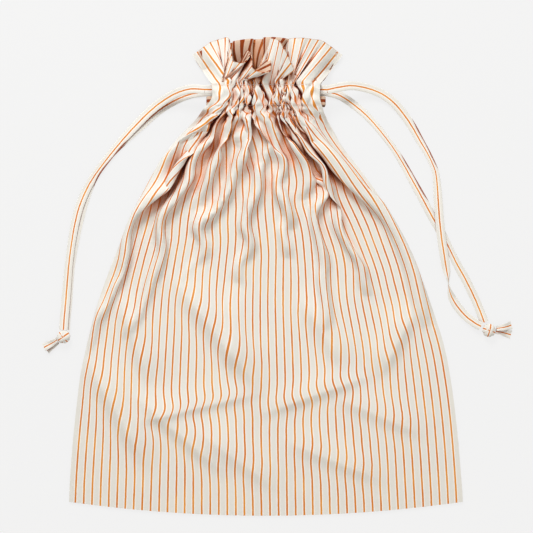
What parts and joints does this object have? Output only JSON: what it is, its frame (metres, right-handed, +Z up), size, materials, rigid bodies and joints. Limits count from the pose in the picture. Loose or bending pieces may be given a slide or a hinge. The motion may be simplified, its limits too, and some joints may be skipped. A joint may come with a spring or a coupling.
{
  "type": "drawstring laundry bag",
  "caption": "Striped cotton drawstring bag for laundry, empty and lying flat, its neck gathered by knotted tapes at both sides.",
  "frame": {"origin": "on the surface the bag lies on, under the middle of its length and width, drawstring ends left out", "axes": "+X to the bag's right, +Y from the bottom seam to the mouth, +Z up out of the front panel"},
  "size_m": [0.4713, 0.479, 0.0344],
  "materials": {
    "striped_cotton": "matt plain-weave cotton, off-white with thin orange stripes",
    "cotton_tape": "matt folded cotton tape, off-white with an orange stripe along it",
    "sewing_thread": "matt off-white thread"
  },
  "bodies": {
    "bag": {"front_panel": "striped_cotton", "back_panel": "striped_cotton", "front_facing": "striped_cotton", "back_facing": "striped_cotton", "left_side_seam": "striped_cotton", "right_side_seam": "striped_cotton", "left_mouth_seam": "striped_cotton", "right_mouth_seam": "striped_cotton", "bottom_seam": "striped_cotton", "front_lower_stitches": "sewing_thread", "front_upper_stitches": "sewing_thread", "back_lower_stitches": "sewing_thread", "back_upper_stitches": "sewing_thread", "left_lower_bar_tack": "sewing_thread", "left_upper_bar_tack": "sewing_thread", "right_lower_bar_tack": "sewing_thread", "right_upper_bar_tack": "sewing_thread", "left_tape_turn": "cotton_tape", "right_tape_turn": "cotton_tape"},
    "left_pull": {"left_front_sliding_tape": "cotton_tape", "left_back_sliding_tape": "cotton_tape"},
    "left_swing": {"left_front_strand": "cotton_tape", "left_back_strand": "cotton_tape", "left_knot": "cotton_tape", "left_upper_tail": "cotton_tape", "left_lower_tail": "cotton_tape"},
    "right_pull": {"right_front_sliding_tape": "cotton_tape", "right_back_sliding_tape": "cotton_tape"},
    "right_swing": {"right_front_strand": "cotton_tape", "right_back_strand": "cotton_tape", "right_knot": "cotton_tape", "right_upper_tail": "cotton_tape", "right_lower_tail": "cotton_tape"}
  },
  "joints": [
    {"name": "left_pull", "type": "slide", "parent": "bag", "child": "left_pull", "axis": [-1, 0, 0], "range_m": [0, 0.03]},
    {"name": "left_swing", "type": "hinge", "parent": "left_pull", "child": "left_swing", "pos_m": [-0.0608, 0.1865, 0.0103], "axis": [0, 0, 1], "range_deg": [-45, 2]},
    {"name": "right_pull", "type": "slide", "parent": "bag", "child": "right_pull", "axis": [1, 0, 0], "range_m": [0, 0.03]},
    {"name": "right_swing", "type": "hinge", "parent": "right_pull", "child": "right_swing", "pos_m": [0.0608, 0.1865, 0.0103], "axis": [0, 0, 1], "range_deg": [-2, 45]}
  ]
}
